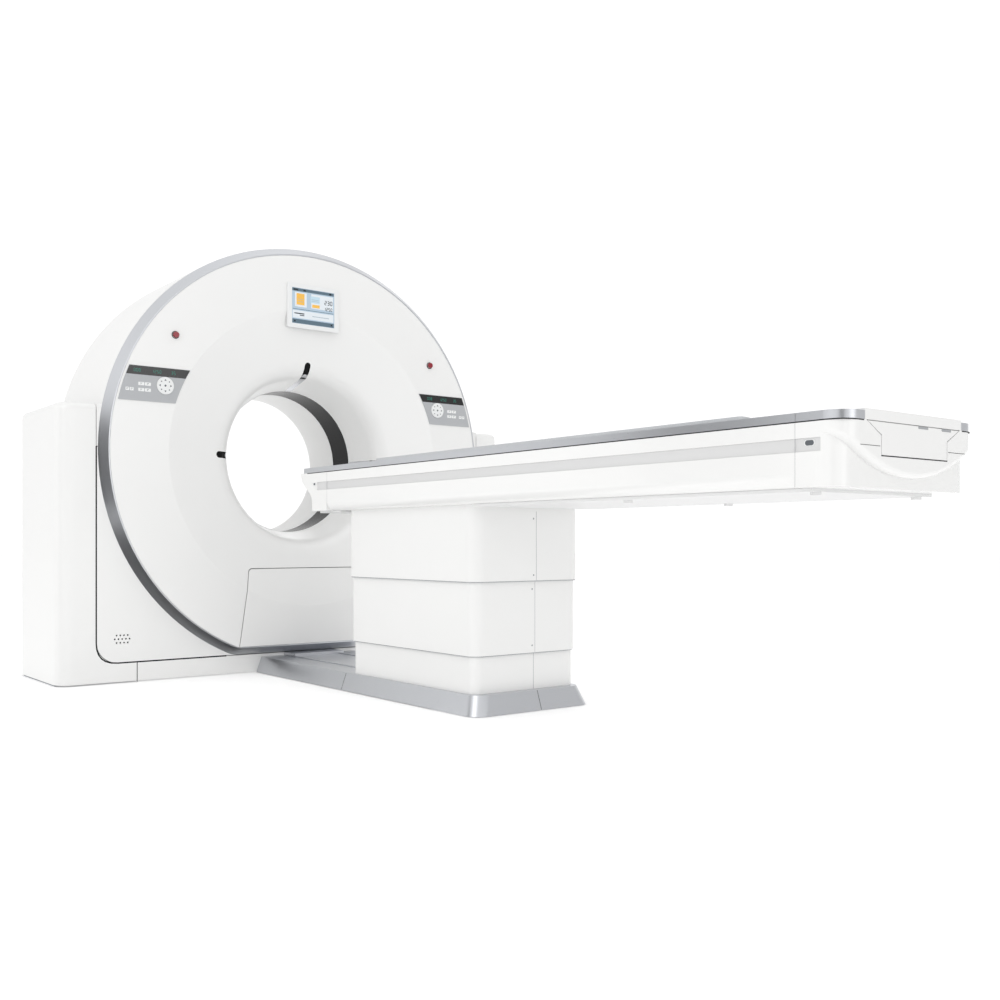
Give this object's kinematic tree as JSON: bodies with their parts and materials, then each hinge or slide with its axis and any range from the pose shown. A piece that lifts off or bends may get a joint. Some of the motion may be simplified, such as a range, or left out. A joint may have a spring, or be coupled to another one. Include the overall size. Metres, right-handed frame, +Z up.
{
  "type": "ct scanner",
  "caption": "Ring-shaped imaging gantry with a round bore, tall side covers and a long lifting patient table whose cradle slides into the bore.",
  "frame": {"origin": "on the floor straight below the isocentre, the centre of the bore in the scan plane, on the underside of the gantry floor frame", "axes": "+X to the right facing the gantry front, +Y along the bore from the table into the gantry, +Z up"},
  "size_m": [2.328, 3.879, 2.01],
  "materials": {
    "white_cover": "glossy",
    "white_paint": "semi-gloss",
    "silver_trim": "satin",
    "black_window": "glossy",
    "chrome_channel": "polished",
    "panel_grey": "satin",
    "screen": "glossy",
    "pad_white": "satin",
    "stop_red": "glossy",
    "band_grey": "satin",
    "tray_white": "satin",
    "cradle_shell": "satin",
    "frame_steel": "satin",
    "stator_cast": "machined",
    "rotor_cast": "machined",
    "bearing_steel": "ground",
    "unit_housing": "satin",
    "slip_brass": "polished",
    "brush_plastic": "matte",
    "belt_rubber": "matte",
    "column_aluminium": "anodised",
    "screw_steel": "ground"
  },
  "bodies": {
    "base": {"access_cover": "white_cover", "base_frame": "frame_steel", "base_skirt": "silver_trim", "bearing_outer": "bearing_steel", "brush_block": "brush_plastic", "cable_duct": "silver_trim", "column_outer": "column_aluminium", "control_panels": "panel_grey", "cover_lower": "white_paint", "display_bezel": "white_cover", "display_screen": "screen", "drive_belt": "belt_rubber", "drive_motor": "unit_housing", "foot_frame": "frame_steel", "front_cover_left": "white_cover", "front_cover_right": "white_cover", "front_disc": "white_cover", "laser_channels": "chrome_channel", "laser_windows": "black_window", "lift_motor": "unit_housing", "plinth_strip": "white_cover", "rear_cover": "white_cover", "rear_disc": "white_cover", "ring_trim": "silver_trim", "side_housing_left": "white_cover", "side_housing_right": "white_cover", "stator_frame": "stator_cast", "top_shell": "white_cover", "window_ring": "black_window"},
    "rotor": {"rotor_drum": "rotor_cast", "bearing_inner": "bearing_steel", "xray_tube": "unit_housing", "tube_collimator": "unit_housing", "detector_array": "unit_housing", "high_voltage_generator": "unit_housing", "heat_exchanger": "unit_housing", "slip_ring": "slip_brass"},
    "motor_pulley": {"motor_pulley": "bearing_steel"},
    "lift": {"column_inner": "column_aluminium", "cover_upper": "white_paint", "beam_frame": "column_aluminium", "beam_cover": "white_cover", "band_strips": "band_grey", "head_cap": "white_cover", "foot_cap": "white_cover", "latch_panel": "white_cover", "side_rails": "silver_trim", "rail_ends": "silver_trim", "bottom_tray": "tray_white", "guide_tracks": "screw_steel", "cradle_drive": "unit_housing"},
    "cover_stage": {"cover_middle": "white_paint"},
    "column_stage": {"column_middle": "column_aluminium"},
    "lift_screw": {"lift_screw": "screw_steel"},
    "cradle": {"cradle": "cradle_shell", "cradle_carriage": "column_aluminium"},
    "pad_left": {"pad_left": "pad_white"},
    "pad_right": {"pad_right": "pad_white"},
    "stop_left": {"stop_button_left": "stop_red"},
    "stop_right": {"stop_button_right": "stop_red"}
  },
  "joints": [
    {"name": "rotor_spin", "type": "hinge", "parent": "base", "child": "rotor", "pos_m": [0, 0, 1.01], "axis": [0, 1, 0], "continuous": true},
    {"name": "pulley_spin", "type": "hinge", "parent": "base", "child": "motor_pulley", "pos_m": [-0.74, 0, 0.25], "axis": [0, 1, 0], "continuous": true},
    {"name": "table_lift", "type": "slide", "parent": "base", "child": "lift", "axis": [0, 0, 1], "range_m": [-0.35, 0]},
    {"name": "cover_follow", "type": "slide", "parent": "base", "child": "cover_stage", "axis": [0, 0, 1], "range_m": [-0.12, 0]},
    {"name": "column_follow", "type": "slide", "parent": "base", "child": "column_stage", "axis": [0, 0, 1], "range_m": [-0.175, 0]},
    {"name": "screw_turn", "type": "hinge", "parent": "base", "child": "lift_screw", "pos_m": [0, -1.544, 0.2], "axis": [0, 0, 1], "range_deg": [-3150.1, 0]},
    {"name": "cradle_slide", "type": "slide", "parent": "lift", "child": "cradle", "axis": [0, 1, 0], "range_m": [0, 1.65]},
    {"name": "pad_left_press", "type": "slide", "parent": "base", "child": "pad_left", "axis": [0, 1, 0], "range_m": [0, 0.002], "stiffness_N_per_m": 1000},
    {"name": "pad_right_press", "type": "slide", "parent": "base", "child": "pad_right", "axis": [0, 1, 0], "range_m": [0, 0.002], "stiffness_N_per_m": 1000},
    {"name": "stop_left_press", "type": "slide", "parent": "base", "child": "stop_left", "axis": [0, 1, 0], "range_m": [0, 0.004], "stiffness_N_per_m": 1500},
    {"name": "stop_right_press", "type": "slide", "parent": "base", "child": "stop_right", "axis": [0, 1, 0], "range_m": [0, 0.004], "stiffness_N_per_m": 1500}
  ],
  "couplings": [
    {"joint": "pulley_spin", "follows": "rotor_spin", "ratio": 15.428},
    {"joint": "cover_follow", "follows": "table_lift", "ratio": 0.34286},
    {"joint": "column_follow", "follows": "table_lift", "ratio": 0.5},
    {"joint": "screw_turn", "follows": "table_lift", "rad_per_m": 157.08}
  ]
}
